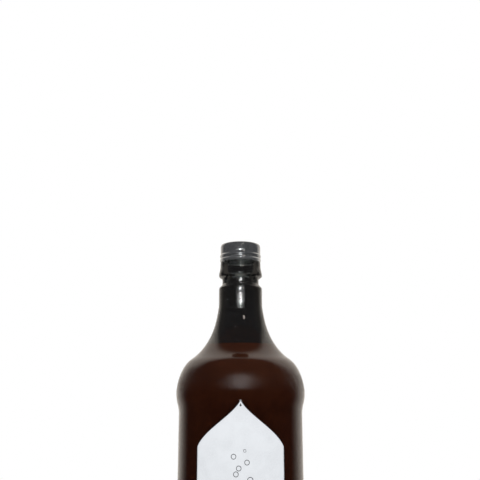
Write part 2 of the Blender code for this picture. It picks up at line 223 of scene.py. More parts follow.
class Recipe(NodeKit):
    """Geometry Nodes tree with named inputs. It ends in one realised mesh of one finish."""

    def __init__(self, name: str, whole: str, sizes: str) -> None:
        """Start a tree.

        Args:
            name: The tree's name.
            whole: Names of the inputs that are whole numbers.
            sizes: Names of the inputs that are sizes, shares or angles.
        """
        super().__init__(bpy.data.node_groups.new(name, "GeometryNodeTree"))
        face = self.tree.interface
        face.new_socket("Geometry", in_out="INPUT", socket_type="NodeSocketGeometry")
        kinds = {**dict.fromkeys(whole.split(), "Int"), **dict.fromkeys(sizes.split(), "Float"),
                 "finish": "Material"}
        self.ids = {label: face.new_socket(label.replace("_", " ").title(), in_out="INPUT",
                                           socket_type="NodeSocket" + kind).identifier
                    for label, kind in kinds.items()}
        face.new_socket("Geometry", in_out="OUTPUT", socket_type="NodeSocketGeometry")
        self.entry = self.tree.nodes.new("NodeGroupInput")
        self.close = self.tree.nodes.new("NodeGroupOutput")

    def __getitem__(self, label: str) -> Field:
        """One of the tree's named inputs."""
        sockets = (socket for socket in self.entry.outputs if socket.identifier == self.ids[label])
        return Field(self, next(sockets))

    @property
    def geometry(self) -> Field:
        """The mesh that the modifier stands on."""
        return Field(self, self.entry.outputs[0])

    def ring(self, offset: Field) -> Field:
        """Points of a circle with the tree's count and radius, moved by an offset."""
        circle = self.out("GeometryNodeMeshCircle",
                          {"Vertices": self["count"], "Radius": self["radius"]})
        return self.out("GeometryNodeSetPosition", {0: circle, "Offset": offset})

    def facing(self, twist: float = 0.0) -> Field:
        """Rotation about Z that faces away from the axis, with a twist added."""
        x, y, _ = self.split(self.out("GeometryNodeInputPosition"))
        return self.join(0.0, 0.0, y.math("ARCTAN2", x) + twist)

    def ball(self) -> Field:
        """A ball of radius 1 with few faces."""
        return self.out("GeometryNodeMeshIcoSphere", {"Radius": 1.0, "Subdivisions": 3})

    def drawn(self) -> Field:
        """Size drawn for each instance between the tree's smallest and largest."""
        inputs = {2: self["smallest"], 3: self["largest"], 8: self["seed"]}
        return self.out("FunctionNodeRandomValue", inputs, 1)

    def stand(self, item: Field, spots: Field, scale: Field, turned: Field | None = None) -> None:
        """Stand an item on every spot and end the tree.

        Args:
            item: What is repeated.
            spots: The points that carry it.
            scale: Its size on each axis.
            turned: Its rotation, if it has one.
        """
        inputs = {"Points": spots, "Instance": item, "Scale": scale}
        if turned is not None:
            inputs["Rotation"] = turned
        self.end(self.out("GeometryNodeInstanceOnPoints", inputs))

    def end(self, geometry: Field) -> None:
        """Realise the instances, give the result its finish and close the tree.

        Args:
            geometry: What the tree has made.
        """
        real = self.out("GeometryNodeRealizeInstances", {0: geometry})
        smooth = self.out("GeometryNodeSetShadeSmooth", {0: real})
        dressed = self.out("GeometryNodeSetMaterial", {0: smooth, "Material": self["finish"]})
        self.plug(self.close, {0: dressed})

    def grow(self, name: str, finish: "Finish", host: bpy.types.Mesh | None = None,
             **values: Any) -> Piece:
        """Run the tree.

        Args:
            name: The new piece's name.
            finish: What it is made of.
            host: The mesh that goes into the tree, if it takes one.
            **values: The tree's other inputs.

        Returns:
            A plain mesh object at the origin.
        """
        worker = place(name + "_host", host or bpy.data.meshes.new(name + "_host"))
        modifier = worker.modifiers.new(name, "NODES")
        modifier.node_group = self.tree
        for label, value in {**values, "finish": finish.make()}.items():
            modifier[self.ids[label]] = value
        return settle(worker, name)


# ---- Meshes -------------------------------------------------------------------------------
def place(name: str, data: bpy.types.ID) -> Piece:
    """Make an object of a mesh, lamp or camera and link it to the scene."""
    made = bpy.data.objects.new(name, data)
    bpy.context.scene.collection.objects.link(made)
    return made


def face_outwards(mesh: bpy.types.Mesh) -> None:
    """Turn a closed mesh's faces outwards if its signed volume says that they point inwards.

    Args:
        mesh: The mesh.
    """
    mesh.calc_loop_triangles()
    corners = np.array([triangle.vertices[:] for triangle in mesh.loop_triangles])
    places = np.array([vertex.co[:] for vertex in mesh.vertices])
    first, second, third = (places[corners[:, index]] for index in range(3))
    if np.einsum("ij,ij->", first, np.cross(second, third)) < 0:
        mesh.flip_normals()


def settle(worker: Piece, name: str) -> Piece:
    """Turn an object with live modifiers into a plain piece.

    Args:
        worker: The object, which is removed.
        name: The piece's name.

    Returns:
        The piece, without modifiers, its faces outwards.
    """
    bpy.context.view_layer.update()
    solid = worker.evaluated_get(bpy.context.evaluated_depsgraph_get())
    mesh = bpy.data.meshes.new_from_object(solid)
    bpy.data.objects.remove(worker, do_unlink=True)
    mesh.name = name
    face_outwards(mesh)
    return place(name, mesh)


def report(piece: Piece, body: Body, slot: Slot | None, *nodes: str) -> None:
    """Let a finished piece ride on its body and say so.

    Args:
        piece: The piece, at the origin with its place in its mesh.
        body: The body that carries it.
        slot: The record's slot for its finish; not used.
        *nodes: The CAD nodes that it stands for.
    """
    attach(piece, body.value)
    if nodes:
        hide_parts(*nodes)
    log.info("%-22s rides on %-7s %7d faces", piece.name, body.value, len(piece.data.polygons))


def curve(start: Point, first: Point, second: Point, end: Point, segments: int) -> list[Point]:
    """Points on a cubic curve.

    Args:
        start: Where it starts.
        first: The handle that it leaves its start towards.
        second: The handle that it comes to its end from.
        end: Where it ends.
        segments: Segments on it.

    Returns:
        The points after the start.
    """
    points = []
    for index in range(1, segments + 1):
        t = index / segments
        u = 1.0 - t
        shares = (u**3, 3 * u * u * t, 3 * u * t * t, t**3)
        corners = (start, first, second, end)
        points.append(tuple(sum(s * c[axis] for s, c in zip(shares, corners)) for axis in (0, 1)))
    return points


def arc(centre: Point, radius: float, first: float, last: float, segments: int) -> list[Point]:
    """Points on an arc in the (radius, level) plane, between two angles in degrees."""
    angles = np.radians(np.linspace(first, last, segments + 1))
    return [(centre[0] + radius * math.cos(a), centre[1] + radius * math.sin(a)) for a in angles]


def soften(corners: Iterable[Place], segments: int = 4, unit: float = MM) -> list[Point]:
    """Round the corners of an outline.

    Args:
        corners: Radius, level and length of rounding of each corner. The ends stay sharp.
        segments: Segments on each rounding.
        unit: Metres in the unit of those numbers.

    Returns:
        The outline's points, with one more point beside each rounding to keep flats flat.
    """
    corners = [tuple(number * unit for number in corner) for corner in corners]
    points = [corners[0][:2]]
    for before, here, after in zip(corners, corners[1:], corners[2:]):
        corner = np.array(here[:2])
        ends = []
        for other in (before, after):
            way = np.array(other[:2]) - corner
            length = float(np.hypot(*way))
            ends.append((way / length, min(here[2], length * 0.42)))
        start, end = (corner + way * reach for way, reach in ends)
        points.append(tuple(corner + ends[0][0] * ends[0][1] * 1.15))
        for index in range(segments + 1):
            t = index / segments
            points.append(tuple((1 - t) ** 2 * start + 2 * t * (1 - t) * corner + t * t * end))
        points.append(tuple(corner + ends[1][0] * ends[1][1] * 1.15))
    return points + [corners[-1][:2]]


def refine(points: Sequence[Point], longest: Callable[[Point], float]) -> list[Point]:
    """Split an outline's long segments.

    Args:
        points: The outline.
        longest: How long a segment may be at a point.

    Returns:
        The outline with the points that split it.
    """
    made = [points[0]]
    for start, end in zip(points, points[1:]):
        middle = ((start[0] + end[0]) / 2, (start[1] + end[1]) / 2)
        count = max(1, math.ceil(math.dist(start, end) / longest(middle)))
        for index in range(1, count + 1):
            t = index / count
            made.append((start[0] + (end[0] - start[0]) * t, start[1] + (end[1] - start[1]) * t))
    return made


def inward(points: Sequence[Point], thickness: Callable[[float], float]) -> list[Point]:
    """Move an outline that runs down its outer side towards the axis.

    Args:
        points: The outline.
        thickness: The wall's thickness at a level.

    Returns:
        The outline of the wall's inside.
    """
    moved = []
    for index, (radius, level) in enumerate(points):
        before = points[max(index - 1, 0)]
        after = points[min(index + 1, len(points) - 1)]
        run = (after[0] - before[0], after[1] - before[1])
        share = thickness(level) / math.hypot(*run)
        moved.append((radius + run[1] * share, level - run[0] * share))
    return moved


def radius_on(outline: Sequence[Point], level: float) -> float:
    """Radius at a level of an outline that runs down."""
    return float(np.interp(-level, [-z for _, z in outline], [r for r, _ in outline]))


def net(rows: int, columns: int, around: bool = False) -> list[tuple[int, int, int, int]]:
    """Faces between rows of vertices.

    Args:
        rows: Rows of faces.
        columns: Faces in a row.
        around: Whether each row closes on itself.

    Returns:
        Each face's vertices: two along its row, then two back along the next row.
    """
    wide = columns if around else columns + 1
    return [(row * wide + column, row * wide + (column + 1) % wide,
             (row + 1) * wide + (column + 1) % wide, (row + 1) * wide + column)
            for row in range(rows) for column in range(columns)]


def beside(ring: np.ndarray, distance: float) -> np.ndarray:
    """Move a closed line's points sideways.

    Args:
        ring: The points of the line.
        distance: How far, to the right of the way that the line runs.

    Returns:
        The moved points.
    """
    ahead = np.roll(ring, -1, axis=0) - np.roll(ring, 1, axis=0)
    normal = np.stack([ahead[:, 1], -ahead[:, 0]], axis=1)
    return ring + normal / np.linalg.norm(normal, axis=1)[:, None] * distance


# ---- Turned pieces ------------------------------------------------------------------------
@dataclass(frozen=True)
class Thread:
    """A helix that climbs round the axis."""

    pitch: float = 3.18 * MM
    level: float = 292.43 * MM
    turns: float = 1.5
    width: float = 1.5 * MM
    angle: float = math.radians(4.0)


@dataclass
class Relief:
    """What stands out of a turned wall at one of its rows, in metres."""

    thread: float = 0.0
    flute: float = 0.0
    seam: float = 0.0
    wave: float = 0.0


def smooth_wall(point: Point, index: int) -> Relief:
    """Relief of a wall that nothing stands out of."""
    return Relief()


class Lathe:
    """Turns outlines into closed walls, with a thread, flutes, mould seams and waviness."""

    SEAM_WIDTH = 0.45 * MM
    WAVE_SCALE = 75.0
    MERGE = 0.5e-6

    def __init__(self) -> None:
        """Build the tree once for all the turned pieces."""
        kit = Recipe("turned_wall", "rows steps",
                     "crowding flutes pitch level turns width angle seam_width wave_scale")
        self.recipe = kit
        rows, steps = kit["rows"], kit["steps"]
        grid = kit.out("GeometryNodeMeshGrid", {"Vertices X": steps + 1, "Vertices Y": rows})
        index = kit.out("GeometryNodeInputIndex")
        column = ((index + 0.5) / rows).math("FLOOR")
        row = (index - column * rows).math("ROUND")
        spot = self._sample(kit.out("GeometryNodeInputPosition"), row, "FLOAT_VECTOR")
        radius, _, level = kit.split(spot)
        share = column / steps * FULL_TURN
        angle = share - (share * 2.0).math("SINE") * kit["crowding"] * 0.5
        sine, cosine = angle.math("SINE"), angle.math("COSINE")
        radius = radius + self._relief("thread", row) * self._thread(angle, level)
        flute = 0.5 - (angle * kit["flutes"]).math("COSINE") * 0.5
        radius = radius + self._relief("flute", row) * flute
        off_seam = sine.math("ABSOLUTE") * radius / kit["seam_width"]
        radius = radius + self._relief("seam", row) * (1.0 - off_seam.ramp(0.0, 1.0))
        drum = kit.stretch(kit.join(cosine * 0.03, sine * 0.03, level), (1.0, 1.0, 0.6))
        wave = kit.noise(drum, kit["wave_scale"])
        radius = radius - self._relief("wave", row) * wave
        there = kit.join(cosine * radius, sine * radius, level)
        shaped = kit.out("GeometryNodeSetPosition", {0: grid, "Position": there})
        kit.end(kit.out("GeometryNodeMergeByDistance", {0: shaped, "Distance": self.MERGE}))

    def _sample(self, value: Field, row: Field, kind: str = "FLOAT") -> Field:
        """Value of the outline's point of a row."""
        inputs = {"Geometry": self.recipe.geometry, "Value": value, "Index": row}
        return self.recipe.out("GeometryNodeSampleIndex", inputs, data_type=kind)

    def _relief(self, name: str, row: Field) -> Field:
        """One of the outline's relief heights at a row."""
        named = self.recipe.out("GeometryNodeInputNamedAttribute", {"Name": name})
        return self._sample(named, row)

    def _thread(self, angle: Field, level: Field) -> Field:
        """Section of the thread.

        Args:
            angle: Angle round the axis of a place on the wall.
            level: Its level.

        Returns:
            From 0 between the thread's turns to 1 on its crest.
        """
        kit = self.recipe
        pitch, half = kit["pitch"], kit["width"] * 0.5
        turned = (angle - kit["angle"]) / FULL_TURN
        climb = (level - kit["level"]) / pitch - turned
        nearest = climb.math("ROUND")
        off_crest = (climb - nearest).math("ABSOLUTE") * pitch
        along = turned + nearest
        from_end = along.math("MINIMUM", kit["turns"] - along)
        return (1.0 - (off_crest / half).ramp(0.25, 1.0)) * from_end.ramp(0.0, 0.1)

    def turn(self, name: str, outline: Sequence[Point], finish: "Finish", steps: int,
             relief: Callable[[Point, int], Relief] = smooth_wall, crowding: float = 0.0,
             flutes: int = 0, thread: Thread = Thread()) -> Piece:
        """Turn an outline about Z.

        Args:
            name: The piece's name.
            outline: Radius and level of each point, from axis to axis or closed on itself.
            finish: What the piece is made of.
            steps: Points round the axis.
            relief: What stands out of the wall at a point of the outline.
            crowding: How much closer those points are at the mould seams, from 0 to 1.
            flutes: How many flutes go round.
            thread: The thread that the relief belongs to.

        Returns:
            The closed piece.
        """
        closed = outline[0][0] > MM * MM
        points = list(outline) + (list(outline[:1]) if closed else [])
        host = bpy.data.meshes.new(name + "_outline")
        host.from_pydata([(radius, 0.0, level) for radius, level in points],
                         [(index, index + 1) for index in range(len(points) - 1)], [])
        reliefs = [relief(point, index % len(outline)) for index, point in enumerate(points)]
        for label in ("thread", "flute", "seam", "wave"):
            heights = host.attributes.new(label, "FLOAT", "POINT")
            heights.data.foreach_set("value", [getattr(item, label) for item in reliefs])
        return self.recipe.grow(
            name, finish, host, rows=len(points), steps=steps, crowding=crowding,
            flutes=float(flutes), seam_width=self.SEAM_WIDTH, wave_scale=self.WAVE_SCALE,
            **asdict(thread))


# ---- Finishes -----------------------------------------------------------------------------
@dataclass(frozen=True)
class Finish:
    """A material made of nodes on the Principled shader."""

    name: str
    roughness: float = 0.3
    metallic: float = 0.0
    transmission: float = 0.0
    ior: float = 1.5
    specular: float = 0.5

    @cache
    def make(self) -> Material:
        """Build the material, once.

        Returns:
            The new material.
        """
        made = bpy.data.materials.new(self.name)
        made.use_nodes = True
        kit = NodeKit(made.node_tree)
        shader = made.node_tree.nodes["Principled BSDF"]
        kit.plug(shader, {"Roughness": self.roughness, "Metallic": self.metallic, "IOR": self.ior,
                          "Transmission Weight": self.transmission,
                          "Specular IOR Level": self.specular})
        kit.plug(shader, self.dress(kit, kit.out("ShaderNodeTexCoord", output="Object")))
        return made

    def dress(self, kit: NodeKit, spot: Field) -> dict[str, Field]:
        """The finish's colour, roughness and normal, by the shader's inputs, at a spot."""
        raise NotImplementedError


@dataclass(frozen=True)
class ClearGlass(Finish):
    """Pressed and blown container glass, scuffed where bottles rub on each other."""

    tint: Colour = (0.955, 0.985, 0.970)
    pale: Colour = (0.985, 0.995, 0.990)
    scuff_rings: tuple[Point, ...] = ((0.2040, 0.0125), (0.0310, 0.0100))
    scuff_roughness: float = 0.20
    mark_roughness: float = 0.03
    pit_depth: float = 0.000150
    peel_depth: float = 0.000012

    def dress(self, kit: NodeKit, spot: Field) -> dict[str, Field]:
        """Faint tint, scuffed rings at shoulder and heel, fine scratches and orange peel.

        Args:
            kit: The material's nodes.
            spot: Where on the object.

        Returns:
            What goes into the shader.
        """
        _, _, level = kit.split(spot)
        rings = []
        for centre, reach in self.scuff_rings:
            near = 1.0 - ((level - centre).math("ABSOLUTE") / reach).math("MINIMUM", 1.0)
            rings.append(near * near * (3.0 - near * 2.0))
        worn = rings[0].math("MAXIMUM", rings[1])
        grains = kit.noise(kit.stretch(spot, (1.0, 1.0, 1.6)), 900.0, 3.0, 0.7).ramp(0.45, 0.70)
        scratches = kit.noise(kit.stretch(spot, (1.0, 1.0, 9.0)), 160.0, 2.0, 0.6).ramp(0.60, 0.74)
        marks = grains.math("MAXIMUM", scratches * 0.6) * worn.ramp(0.70, 1.0)
        pits = kit.noise(spot, 1700.0, 3.0, 0.7) * worn
        peel = kit.bump(kit.noise(spot, 260.0, 2.0, 0.45), self.peel_depth)
        return {"Base Color": kit.mix(kit.noise(spot, 18.0), self.tint, self.pale),
                "Roughness": worn * self.scuff_roughness + marks * self.mark_roughness
                + self.roughness,
                "Normal": kit.bump(pits, self.pit_depth, peel)}


@dataclass(frozen=True)
class DarkSoda(Finish):
    """Dark cola: opaque in this thickness, with painted light that makes it redder and lighter near
    its surface and down a middle band.
    """

    deep: Colour = (0.037, 0.0080, 0.0026)
    # light is the colour of the painted light; lit_centre and lit_reach place its middle band
    light: Colour = (0.074, 0.0220, 0.0094)
    surface: float = 0.2271
    lit_centre: float = 0.006
    lit_reach: float = 0.034

    def dress(self, kit: NodeKit, spot: Field) -> dict[str, Field]:
        """Painted light by level and across, lighter near the surface and down a middle band, with
        the slow clouds that currents leave.

        Args:
            kit: The material's nodes.
            spot: Where on the object.

        Returns:
            What goes into the shader.
        """
        across, _, level = kit.split(spot)
        # painted light: lighter towards the drink's surface, where light from above falls
        shallow = level.ramp(self.surface - 0.040, self.surface - 0.014)
        # painted light: a broad band down the middle, across x, where light from the front falls
        off = (across - self.lit_centre) / self.lit_reach
        middle = 1.0 - (off * off).math("MINIMUM", 1.0)
        cloud = kit.noise(kit.stretch(spot, (1.0, 1.0, 0.5)), 60.0, 3.0, 0.6).ramp(0.3, 0.7)
        # share adds the painted light to the random clouds of tone
        share = shallow * (middle * 0.55 + 0.08) + cloud * 0.16
        return {"Base Color": kit.mix(share, self.deep, self.light),
                "Roughness": cloud * 0.1 + self.roughness}


@dataclass(frozen=True)
class RolledAluminium(Finish):
    """Lacquered aluminium sheet, rolled on: rings from the rollers, rubs and small dents."""

    bright: Colour = (0.54, 0.55, 0.565)
    dull: Colour = (0.40, 0.41, 0.42)
    bare: Colour = (0.62, 0.62, 0.63)

    def dress(self, kit: NodeKit, spot: Field) -> dict[str, Field]:
        """Fine rings, cloudy lacquer, rubs and shallow dents.

        Args:
            kit: The material's nodes.
            spot: Where on the object.

        Returns:
            What goes into the shader.
        """
        rings = kit.noise(kit.stretch(spot, (0.04, 0.04, 1.0)), 5200.0, 2.0, 0.6)
        cloud = kit.noise(spot, 190.0, 3.0, 0.6).ramp(0.3, 0.7)
        rub = kit.noise(spot, 900.0, 4.0, 0.7).ramp(0.60, 0.70)
        tone = (rings * 0.5 + cloud * 0.6).math("MINIMUM", 1.0)
        rough = rings * 0.10 + cloud * 0.06 + rub * 0.12
        dents = kit.bump(kit.noise(spot, 240.0), 0.00006)
        return {"Base Color": kit.mix(rub * 0.5, kit.mix(tone, self.dull, self.bright), self.bare),
                "Roughness": rough + (self.roughness - 0.08),
                "Normal": kit.bump(rings, 0.000012, dents)}


@dataclass(frozen=True)
class Compound(Finish):
    """Moulded sealing compound: soft, dull and slightly speckled."""

    base: Colour = (0.70, 0.72, 0.69)
    speck: Colour = (0.58, 0.60, 0.57)

    def dress(self, kit: NodeKit, spot: Field) -> dict[str, Field]:
        """Speckle and a fine matt skin.

        Args:
            kit: The material's nodes.
            spot: Where on the object.

        Returns:
            What goes into the shader.
        """
        speck = kit.noise(spot, 2600.0, 3.0, 0.7).ramp(0.55, 0.68)
        skin = kit.noise(spot, 900.0, 3.0, 0.6)
        return {"Base Color": kit.mix(speck, self.base, self.speck),
                "Roughness": skin * 0.2 + (self.roughness - 0.1),
                "Normal": kit.bump(skin, 0.00003)}


@dataclass(frozen=True)
class FiredEnamel(Finish):
    """Screen-printed enamel fired on glass: dense colour, pinholes and a wavy gloss."""

    base: Colour = (0.74, 0.765, 0.80)
    thin: Colour = (0.62, 0.64, 0.67)

    def dress(self, kit: NodeKit, spot: Field) -> dict[str, Field]:
        """Uneven coat, pinholes and a soft orange peel.

        Args:
            kit: The material's nodes.
            spot: Where on the object.

        Returns:
            What goes into the shader.
        """
        coat = kit.noise(spot, 130.0, 4.0, 0.6).ramp(0.35, 0.75)
        pores = kit.noise(spot, 2400.0, 2.0, 0.6).ramp(0.70, 0.78)
        colour = kit.mix(coat * 0.4, self.base, self.thin)
        peel = kit.bump(kit.noise(spot, 700.0, 3.0), 0.00003)
        return {"Base Color": kit.mix(pores * 0.6, colour, self.thin),
                "Roughness": coat * 0.12 + pores * 0.2 + self.roughness,
                "Normal": kit.bump(1.0 - pores, 0.00002, peel)}


@dataclass(frozen=True)
class Mottled(Finish):
    """Barely uneven stuff: clear drops, or the studio's plain floor."""

    base: Colour = (0.97, 0.97, 0.96)
    other: Colour = (1.0, 1.0, 1.0)
    scale: float = 300.0
    detail: float = 2.0
    spread: float = 0.02

    def dress(self, kit: NodeKit, spot: Field) -> dict[str, Field]:
        """A trace of colour and gloss that changes from place to place."""
        tone = kit.noise(spot, self.scale, self.detail)
        return {"Base Color": kit.mix(tone, self.base, self.other),
                "Roughness": tone * self.spread + self.roughness}


GLASS = ClearGlass("clear_glass", roughness=0.03, transmission=1.0, ior=1.52)
SODA = DarkSoda("dark_soda", roughness=0.5, specular=0.0)
CAP_METAL = RolledAluminium("cap_aluminium", roughness=0.13, metallic=0.92)
BAND_METAL = RolledAluminium("band_aluminium", roughness=0.13, metallic=0.90,
                             bright=(0.58, 0.59, 0.60), dull=(0.44, 0.45, 0.46))
LINER_STUFF = Compound("liner_compound", roughness=0.6)
WHITE = FiredEnamel("white_enamel", roughness=0.22)
INK = FiredEnamel("dark_enamel", roughness=0.25, base=(0.013, 0.013, 0.016),
                  thin=(0.030, 0.030, 0.036))
DROPS = Mottled("clear_drops", roughness=0.0, transmission=1.0, ior=1.33)
FLOOR = Mottled("pale_floor", roughness=0.7, specular=0.2, base=(0.80, 0.80, 0.79),
                other=(0.84, 0.84, 0.835), scale=7.0, detail=3.0, spread=0.1)


# ---- The glass bottle and the drink -------------------------------------------------------
@dataclass
class Bottle:
    """The glass, with its drink, its bubbles and the drops in its neck."""

    lathe: Lathe
    neck_radius: float = 15.1 * MM
    neck_wall: float = 2.1 * MM
    neck_top: float = 268.73 * MM
    flare_top: float = 258.73 * MM
    flare_slope: float = math.radians(66.0)
    shoulder_level: float = 197.43 * MM
    shoulder_radius: float = 43.45 * MM
    panel_top: float = 182.43 * MM
    panel_bottom: float = 48.5 * MM
    panel_radius: float = 41.45 * MM
    heel_top: float = 38.5 * MM
    heel_round: float = 8.5 * MM
    body_wall: float = 2.8 * MM
    base_thickness: float = 4.8 * MM
    foot_outer: float = 34.95 * MM
    foot_inner: float = 31.45 * MM
    push_up: float = 5.5 * MM
    bore_radius: float = 10.0 * MM
    bore_end: float = 276.4 * MM
    thread_wall: float = 12.05 * MM
    thread_low: float = 291.0 * MM
    thread_rise: float = 0.95 * MM
    thread: Thread = Thread()
    seam_rise: float = 0.05 * MM
    seam_levels: Point = (2.0 * MM, 286.0 * MM)
    blown_low: float = 20.0 * MM
    fill_level: float = 227.1 * MM
    climb: float = 1.5 * MM
    stud_height: float = 0.28 * MM

    def body_outline(self, fine: int = 1) -> list[Point]:
        """Outside of the bottle from the straight neck's lower end to the heel's rounding.

        Args:
            fine: Leaves out bends: 2 keeps half of them.

        Returns:
            The points from the top down.
        """
        height = self.flare_top - self.shoulder_level
        reach = self.shoulder_radius - self.neck_radius
        turn = (self.neck_radius + reach * 0.655, self.shoulder_level + height * 0.361)
        out, down = height * math.sin(self.flare_slope), height * math.cos(self.flare_slope)
        points = [(self.neck_radius, self.flare_top)]
        points += curve(points[0], (self.neck_radius, self.flare_top - height * 0.417),
                        (turn[0] - out * 0.062, turn[1] + down * 0.062), turn, 24 // fine)
        points += curve(turn, (turn[0] + out * 0.083, turn[1] - down * 0.083),
                        (self.shoulder_radius, self.shoulder_level + height * 0.154),
                        (self.shoulder_radius, self.shoulder_level), 22 // fine)
        for _ in range(16 // fine**2):
            eased = [tuple((a + 2 * b + c) / 4 for a, b, c in zip(*three))
                     for three in zip(points[:-2], points[1:-1], points[2:])]
            points[2:-2] = eased[1:-1]
        points += self._slope((self.shoulder_radius, self.shoulder_level),
                              (self.panel_radius, self.panel_top), 14 // fine)
        points.append((self.panel_radius, self.panel_bottom))
        return points + self._slope(points[-1], (self.shoulder_radius, self.heel_top), 10 // fine)

    @staticmethod
    def _slope(top: Point, bottom: Point, segments: int) -> list[Point]:
        """S-shaped step between two straight stretches."""
        middle = (top[1] + bottom[1]) / 2
        return curve(top, (top[0], middle), (bottom[0], middle), bottom, segments)

    def finish_outline(self) -> list[Point]:
        """Outside of the mouth: bore edge, lip, thread wall, lock ring, collar, bead, groove."""
        return soften((
            (10.0, 297.0, 0.0), (10.0, 298.3, 0.7), (12.1, 298.3, 0.7), (12.1, 297.1, 0.2),
            (12.35, 296.7, 0.2), (12.35, 289.7, 0.3), (13.35, 289.1, 0.25),
            (13.35, 288.1, 0.2), (12.35, 288.0, 0.15), (12.35, 286.9, 0.12),
            (14.15, 286.9, 0.55), (14.15, 283.2, 1.2), (15.04, 279.2, 0.9),
            (15.2, 278.2, 0.45), (15.2, 277.3, 0.4), (14.57, 276.4, 0.5),
            (12.7, 275.23, 0.9), (12.7, 271.33, 0.9), (14.7, 269.13, 0.7),
            (15.1, 268.33, 0.4), (15.1, 266.0, 0.0)))

    def inside_outline(self, sunk: float = 0.0, fine: int = 1) -> list[Point]:
        """Inside of the body from the straight neck down to the centre of the base.

        Args:
            sunk: How far the outline lies inside the glass, for the drink's skin.
            fine: Leaves out bends: 2 keeps half of them.

        Returns:
            The points from the top down.
        """
        height = self.flare_top - self.shoulder_level

        def wall(level: float) -> float:
            """Thickness of the glass at a level."""
            share = min(max((self.flare_top - level) / height, 0.0), 1.0)
            return self.neck_wall + (self.body_wall - self.neck_wall) * share - sunk

        points = inward(self.body_outline(fine), wall)
        corner = self.heel_round - self.body_wall + sunk
        side = self.shoulder_radius - self.body_wall + sunk
        floor = self.base_thickness - sunk
        points += arc((side - corner, floor + corner), corner, 0, -90, 8)
        return points + curve((side - corner, floor), (side - corner * 2.2, floor),
                              (14.0 * MM, floor + self.push_up), (0.0, floor + self.push_up), 8)

    def base_outline(self) -> list[Point]:
        """Outside of the heel, the foot that carries the studs, and the domed base."""
        foot, dome = self.stud_height, self.push_up
        points = arc((self.shoulder_radius - self.heel_round, self.heel_round),
                     self.heel_round, 0, -74, 10)
        corners = [(*points[-1], 0.0), (self.foot_outer - 0.4 * MM, foot, 1.0 * MM),
                   (self.foot_inner + 0.3 * MM, foot, 0.8 * MM),
                   (self.foot_inner - 2.5 * MM, dome * 0.45, 1.4 * MM),
                   (22.0 * MM, dome * 0.80, 1.6 * MM), (20.6 * MM, dome * 0.76, 0.6 * MM),
                   (19.4 * MM, dome * 0.76, 0.6 * MM), (18.0 * MM, dome * 0.88, 1.6 * MM),
                   (6.0 * MM, dome, 4.0 * MM), (0.0, dome, 0.0)]
        return points[:-1] + soften(corners, 3, 1.0)

    def make_glass(self) -> None:
        """The glass wall, inside and outside, with its thread and mould seams."""
        inside = list(reversed(self.inside_outline(fine=2)))
        inside += [(self.neck_radius - self.neck_wall, self.neck_top - 1.0 * MM),
                   (self.bore_radius + 0.4 * MM, self.bore_end - 0.9 * MM),
                   (self.bore_radius, self.bore_end)]
        thread_top = self.thread.level + self.thread.turns * self.thread.pitch + 1.2 * MM

        def longest(point: Point) -> float:
            """Longest segment: short where the thread is."""
            on_thread = point[0] > self.thread_wall and point[1] > self.thread_low
            return 0.16 * MM if on_thread else 5.0 * MM

        inside = refine(inside, lambda point: 6.0 * MM)
        outside = refine(self.finish_outline() + self.body_outline() + self.base_outline(), longest)

        def relief(point: Point, index: int) -> Relief:
            """Thread on the mouth, seams outside, and waves where the glass was blown."""
            radius, level = point
            outer = index >= len(inside)
            threaded = outer and radius > self.thread_wall \
                and self.thread_low + 0.2 * MM < level < thread_top
            seamed = outer and radius < self.shoulder_radius - 0.1 * MM \
                and self.seam_levels[0] < level < self.seam_levels[1]
            blown = self.blown_low < level < self.neck_top
            return Relief(thread=self.thread_rise if threaded else 0.0,
                          seam=self.seam_rise if seamed else 0.0,
                          wave=(0.09 if outer else 0.22) * MM if blown else 0.03 * MM)

        wall = self.lathe.turn("bottle_wall", inside + outside, GLASS, 228, relief,
                               crowding=0.6, thread=self.thread)
        report(wall, Body.BOTTLE, Slot.GLASS, "bottle_glass")

    def make_drink(self) -> None:
        """The drink, with a meniscus that climbs the glass. Its skin lies just in the wall."""
        skin = self.inside_outline(sunk=0.09 * MM)
        fill, rim = self.fill_level, self.fill_level + self.climb
        edge = radius_on(skin[:60], rim)
        surface = [(0.0, fill), (edge - 3.2 * MM, fill)]
        surface += curve(surface[-1], (edge - 1.2 * MM, fill), (edge - 0.35 * MM, fill + 0.5 * MM),
                         (edge, rim), 8)
        below = [point for point in skin if point[1] < rim]
        outline = refine(surface + below, lambda point: 6.0 * MM)
        report(self.lathe.turn("drink_fill", outline, SODA, 160), Body.BOTTLE, Slot.SODA,
               "soda_drink")

    def make_bubbles(self) -> None:
        """Ring of small bubbles where the drink meets the glass."""
        kit = Recipe("ring_of_bubbles", "count seed", "radius level smallest largest")
        reach = {0: (-0.9 * MM, -0.9 * MM, -0.1 * MM), 1: (0.9 * MM, 0.9 * MM, 0.2 * MM)}
        shift = kit.out("FunctionNodeRandomValue", {**reach, 8: kit["seed"]},
                        data_type="FLOAT_VECTOR")
        up = kit.join(0.0, 0.0, kit["level"])
        offset = kit.out("ShaderNodeVectorMath", {0: shift, 1: up}, operation="ADD")
        size = kit.drawn()
        kit.stand(kit.ball(), kit.ring(offset), kit.join(size, size, size))
        inner = radius_on(self.inside_outline()[:60], self.fill_level)
        bubbles = kit.grow("meniscus_bubbles", DROPS, count=110, radius=inner - 1.6 * MM,
                           level=self.fill_level + 0.35 * MM, smallest=0.16 * MM,
                           largest=0.42 * MM, seed=5)
        report(bubbles, Body.BOTTLE, Slot.SODA)

